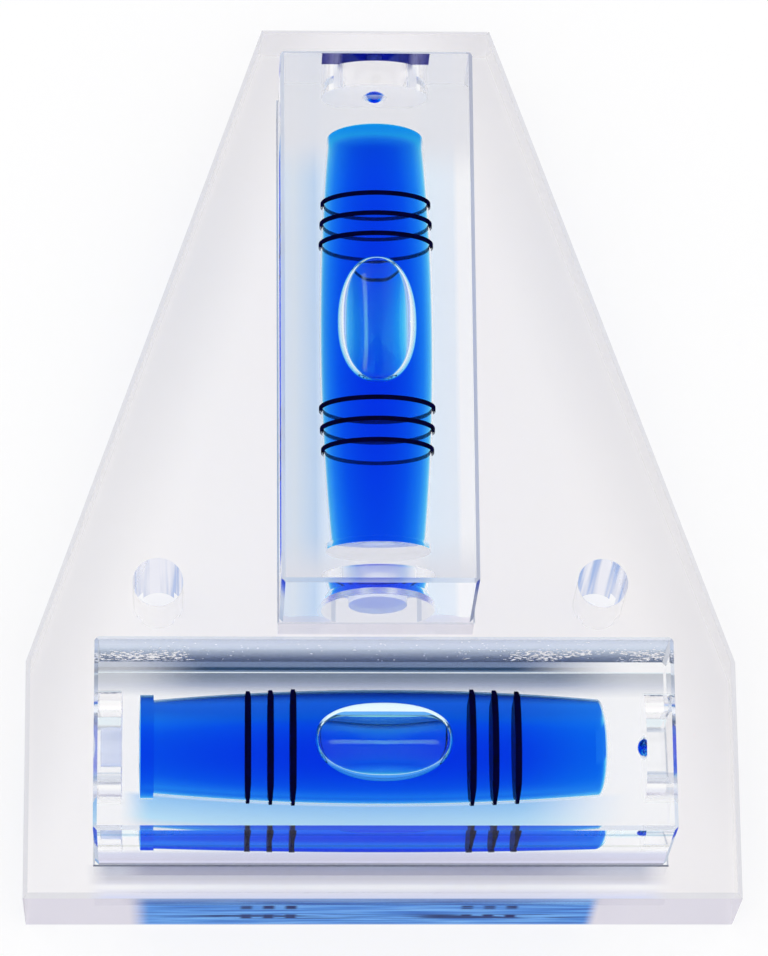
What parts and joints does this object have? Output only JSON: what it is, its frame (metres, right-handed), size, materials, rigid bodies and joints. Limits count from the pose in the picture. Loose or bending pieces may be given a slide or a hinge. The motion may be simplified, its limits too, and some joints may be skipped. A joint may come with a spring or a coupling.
{
  "type": "t-shaped bubble level",
  "caption": "Clear tapered plate with crossed square bubble vials bonded into it, for checking level in two directions.",
  "frame": {"origin": "middle of the plate's outline, on the plate's back face", "axes": "+Z out of the plate towards the vials, +Y from the foot to the narrow top, +X to the right as seen from the front"},
  "size_m": [0.0364, 0.0478, 0.013],
  "materials": {
    "plate_acrylic": "polished",
    "vial_acrylic": "polished",
    "plug_acrylic": "polished",
    "blue_spirit": "polished",
    "air": "polished",
    "ring_ink": "satin",
    "clear_adhesive": "gloss"
  },
  "bodies": {
    "level": {"base_plate": "plate_acrylic", "horizontal_vial_block": "vial_acrylic", "horizontal_vial_plug": "plug_acrylic", "horizontal_liquid": "blue_spirit", "horizontal_adhesive": "clear_adhesive", "horizontal_ring_1": "ring_ink", "horizontal_ring_2": "ring_ink", "horizontal_ring_3": "ring_ink", "horizontal_ring_4": "ring_ink", "horizontal_ring_5": "ring_ink", "horizontal_ring_6": "ring_ink", "vertical_vial_block": "vial_acrylic", "vertical_vial_plug": "plug_acrylic", "vertical_liquid": "blue_spirit", "vertical_adhesive": "clear_adhesive", "vertical_ring_1": "ring_ink", "vertical_ring_2": "ring_ink", "vertical_ring_3": "ring_ink", "vertical_ring_4": "ring_ink", "vertical_ring_5": "ring_ink", "vertical_ring_6": "ring_ink"},
    "horizontal_bubble": {"horizontal_bubble": "air"},
    "vertical_bubble": {"vertical_bubble": "air"}
  },
  "joints": [
    {"name": "horizontal_bubble_run", "type": "hinge", "parent": "level", "child": "horizontal_bubble", "pos_m": [-0.0001, -0.01708, -0.11306], "axis": [0, 1, 0], "range_deg": [-3.1, 3.1], "stiffness_Nm_per_rad": 0.000103, "deforming": ["horizontal_liquid"]},
    {"name": "vertical_bubble_run", "type": "hinge", "parent": "level", "child": "vertical_bubble", "pos_m": [-0.00025, 0.00515, -0.11306], "axis": [-1, 0, 0], "range_deg": [-3.3, 2.9], "stiffness_Nm_per_rad": 0.000103, "deforming": ["vertical_liquid"]}
  ]
}
